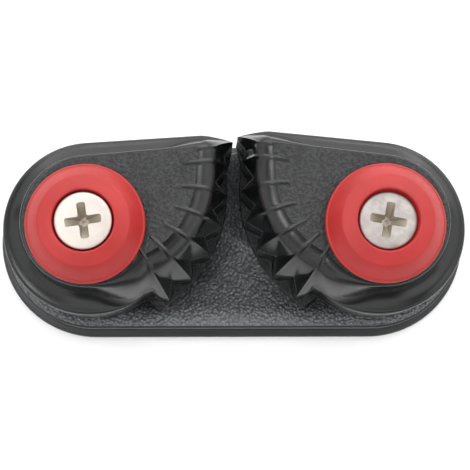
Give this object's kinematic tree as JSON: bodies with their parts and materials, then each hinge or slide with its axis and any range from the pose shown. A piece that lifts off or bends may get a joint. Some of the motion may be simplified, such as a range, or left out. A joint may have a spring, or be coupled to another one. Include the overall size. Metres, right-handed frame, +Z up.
{
  "type": "cam cleat",
  "caption": "Cam cleat: two toothed, spring-closed cams on ball bearings grip a line between them; one flat moulded base, screwed to a deck.",
  "frame": {"origin": "centre of the base's underside, midway between the two mounting screws, on the deck", "axes": "+Z up from the deck; +X from the left cam's pivot to the right cam's pivot; +Y towards the side where the cams' tips meet, so the loaded line leaves towards -Y"},
  "size_m": [0.065, 0.027, 0.0332],
  "materials": {
    "base_plastic": "black moulded nylon with a leather grain on top",
    "cam_plastic": "black fibre-filled plastic, satin sides and a fine matt grain on top",
    "cap_red": "satin red moulded plastic",
    "screw_steel": "satin stainless steel",
    "bearing_steel": "polished stainless steel",
    "spring_steel": "drawn spring wire",
    "acetal": "smooth dark acetal"
  },
  "bodies": {
    "base": {"base": "base_plastic", "left_bearing_post": "bearing_steel", "left_thrust_washer": "acetal", "left_spring": "spring_steel", "left_cap": "cap_red", "left_screw": "screw_steel", "right_bearing_post": "bearing_steel", "right_thrust_washer": "acetal", "right_spring": "spring_steel", "right_cap": "cap_red", "right_screw": "screw_steel"},
    "left_cam": {"left_cam": "cam_plastic", "left_ball_retainer": "acetal"},
    "right_cam": {"right_cam": "cam_plastic", "right_ball_retainer": "acetal"},
    "left_balls": {"left_upper_balls": "bearing_steel", "left_middle_balls": "bearing_steel", "left_lower_balls": "bearing_steel"},
    "right_balls": {"right_upper_balls": "bearing_steel", "right_middle_balls": "bearing_steel", "right_lower_balls": "bearing_steel"}
  },
  "joints": [
    {"name": "left_cam_swing", "type": "hinge", "parent": "base", "child": "left_cam", "pos_m": [-0.019, 0, 0.011], "axis": [0, 0, 1], "range_deg": [0, 50], "stiffness_Nm_per_rad": 0.05, "springref_deg": -40.11},
    {"name": "right_cam_swing", "type": "hinge", "parent": "base", "child": "right_cam", "pos_m": [0.019, 0, 0.011], "axis": [0, 0, -1], "range_deg": [0, 50], "stiffness_Nm_per_rad": 0.05, "springref_deg": -40.11},
    {"name": "left_ball_orbit", "type": "hinge", "parent": "base", "child": "left_balls", "pos_m": [-0.019, 0, 0.011], "axis": [0, 0, 1], "range_deg": [0, 31]},
    {"name": "right_ball_orbit", "type": "hinge", "parent": "base", "child": "right_balls", "pos_m": [0.019, 0, 0.011], "axis": [0, 0, -1], "range_deg": [0, 31]}
  ],
  "couplings": [
    {"joint": "left_ball_orbit", "follows": "left_cam_swing", "ratio": 0.6182},
    {"joint": "right_ball_orbit", "follows": "right_cam_swing", "ratio": 0.6182}
  ]
}
